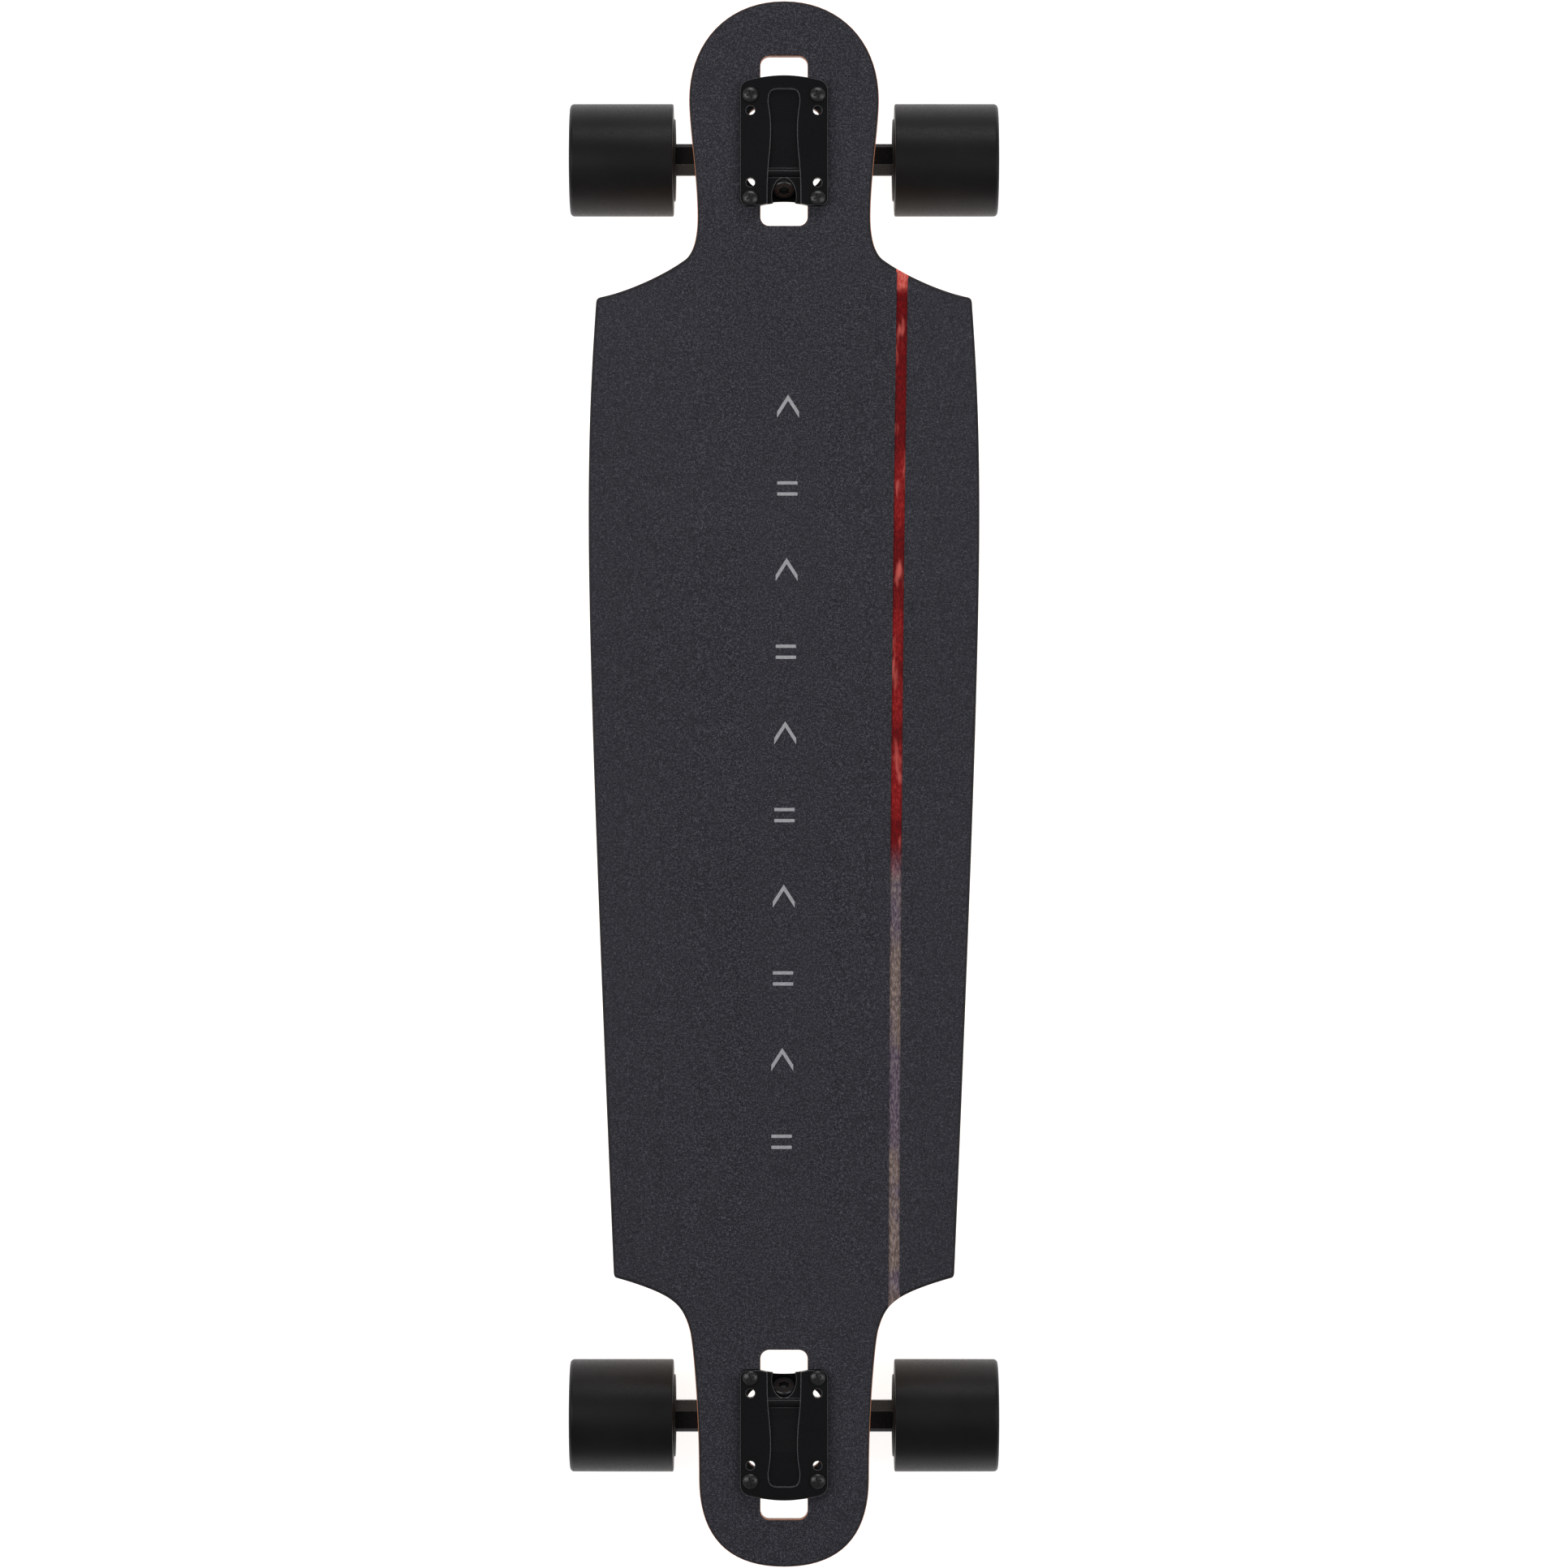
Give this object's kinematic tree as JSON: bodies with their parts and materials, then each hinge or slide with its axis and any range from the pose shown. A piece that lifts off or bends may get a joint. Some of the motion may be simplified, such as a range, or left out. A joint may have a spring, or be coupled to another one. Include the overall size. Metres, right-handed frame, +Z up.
{
  "type": "longboard",
  "caption": "Drop-through longboard with black grip, a bare red stripe, reverse-kingpin trucks that steer and free-rolling black wheels.",
  "frame": {"origin": "on the ground under the middle of the board, as it stands on its four wheels", "axes": "+Y along the board towards the nose, +X to the rider's right, +Z up"},
  "size_m": [0.2668, 0.965, 0.0959],
  "materials": {
    "deck_wood": "satin",
    "grip_sheet": "gritty",
    "cast_metal": "satin",
    "black_steel": "satin",
    "bright_steel": "brushed",
    "dark_rubber": "matte",
    "bushing_urethane": "satin",
    "wheel_urethane": "satin",
    "hub_plastic": "satin",
    "bearing_steel": "polished"
  },
  "bodies": {
    "board": {"deck": "deck_wood", "grip_main": "grip_sheet", "grip_side": "grip_sheet", "front_baseplate": "cast_metal", "front_pivot_cup": "dark_rubber", "front_kingpin": "black_steel", "front_kingpin_nut": "black_steel", "front_boardside_bushing": "bushing_urethane", "front_boardside_washer": "bright_steel", "front_roadside_bushing": "bushing_urethane", "front_roadside_washer": "bright_steel", "front_bolt_1": "black_steel", "front_lock_nut_1": "black_steel", "front_bolt_2": "black_steel", "front_lock_nut_2": "black_steel", "front_bolt_3": "black_steel", "front_lock_nut_3": "black_steel", "front_bolt_4": "black_steel", "front_lock_nut_4": "black_steel", "rear_baseplate": "cast_metal", "rear_pivot_cup": "dark_rubber", "rear_kingpin": "black_steel", "rear_kingpin_nut": "black_steel", "rear_boardside_bushing": "bushing_urethane", "rear_boardside_washer": "bright_steel", "rear_roadside_bushing": "bushing_urethane", "rear_roadside_washer": "bright_steel", "rear_bolt_1": "black_steel", "rear_lock_nut_1": "black_steel", "rear_bolt_2": "black_steel", "rear_lock_nut_2": "black_steel", "rear_bolt_3": "black_steel", "rear_lock_nut_3": "black_steel", "rear_bolt_4": "black_steel", "rear_lock_nut_4": "black_steel"},
    "front_hanger": {"front_hanger": "cast_metal", "front_axle": "bright_steel", "front_right_wheel_axle_nut": "black_steel", "front_left_wheel_axle_nut": "black_steel"},
    "front_right_wheel": {"front_right_wheel_tyre": "wheel_urethane", "front_right_wheel_core": "hub_plastic", "front_right_wheel_inner_bearing": "bearing_steel", "front_right_wheel_outer_bearing": "bearing_steel"},
    "front_left_wheel": {"front_left_wheel_tyre": "wheel_urethane", "front_left_wheel_core": "hub_plastic", "front_left_wheel_inner_bearing": "bearing_steel", "front_left_wheel_outer_bearing": "bearing_steel"},
    "rear_hanger": {"rear_hanger": "cast_metal", "rear_axle": "bright_steel", "rear_right_wheel_axle_nut": "black_steel", "rear_left_wheel_axle_nut": "black_steel"},
    "rear_right_wheel": {"rear_right_wheel_tyre": "wheel_urethane", "rear_right_wheel_core": "hub_plastic", "rear_right_wheel_inner_bearing": "bearing_steel", "rear_right_wheel_outer_bearing": "bearing_steel"},
    "rear_left_wheel": {"rear_left_wheel_tyre": "wheel_urethane", "rear_left_wheel_core": "hub_plastic", "rear_left_wheel_inner_bearing": "bearing_steel", "rear_left_wheel_outer_bearing": "bearing_steel"}
  },
  "joints": [
    {"name": "front_steering", "type": "hinge", "parent": "board", "child": "front_hanger", "pos_m": [0, 0.39601, 0.05911], "axis": [0, 0.6428, 0.766], "range_deg": [-20, 20], "stiffness_Nm_per_rad": 60, "deforming": ["front_boardside_bushing", "front_roadside_bushing"]},
    {"name": "front_right_wheel_spin", "type": "hinge", "parent": "front_hanger", "child": "front_right_wheel", "pos_m": [0.1, 0.3895, 0.035], "axis": [1, 0, 0], "continuous": true},
    {"name": "front_left_wheel_spin", "type": "hinge", "parent": "front_hanger", "child": "front_left_wheel", "pos_m": [-0.1, 0.3895, 0.035], "axis": [1, 0, 0], "continuous": true},
    {"name": "rear_steering", "type": "hinge", "parent": "board", "child": "rear_hanger", "pos_m": [0, -0.40076, 0.05911], "axis": [0, -0.6428, 0.766], "range_deg": [-20, 20], "stiffness_Nm_per_rad": 60, "deforming": ["rear_boardside_bushing", "rear_roadside_bushing"]},
    {"name": "rear_right_wheel_spin", "type": "hinge", "parent": "rear_hanger", "child": "rear_right_wheel", "pos_m": [0.1, -0.39425, 0.035], "axis": [1, 0, 0], "continuous": true},
    {"name": "rear_left_wheel_spin", "type": "hinge", "parent": "rear_hanger", "child": "rear_left_wheel", "pos_m": [-0.1, -0.39425, 0.035], "axis": [1, 0, 0], "continuous": true}
  ]
}
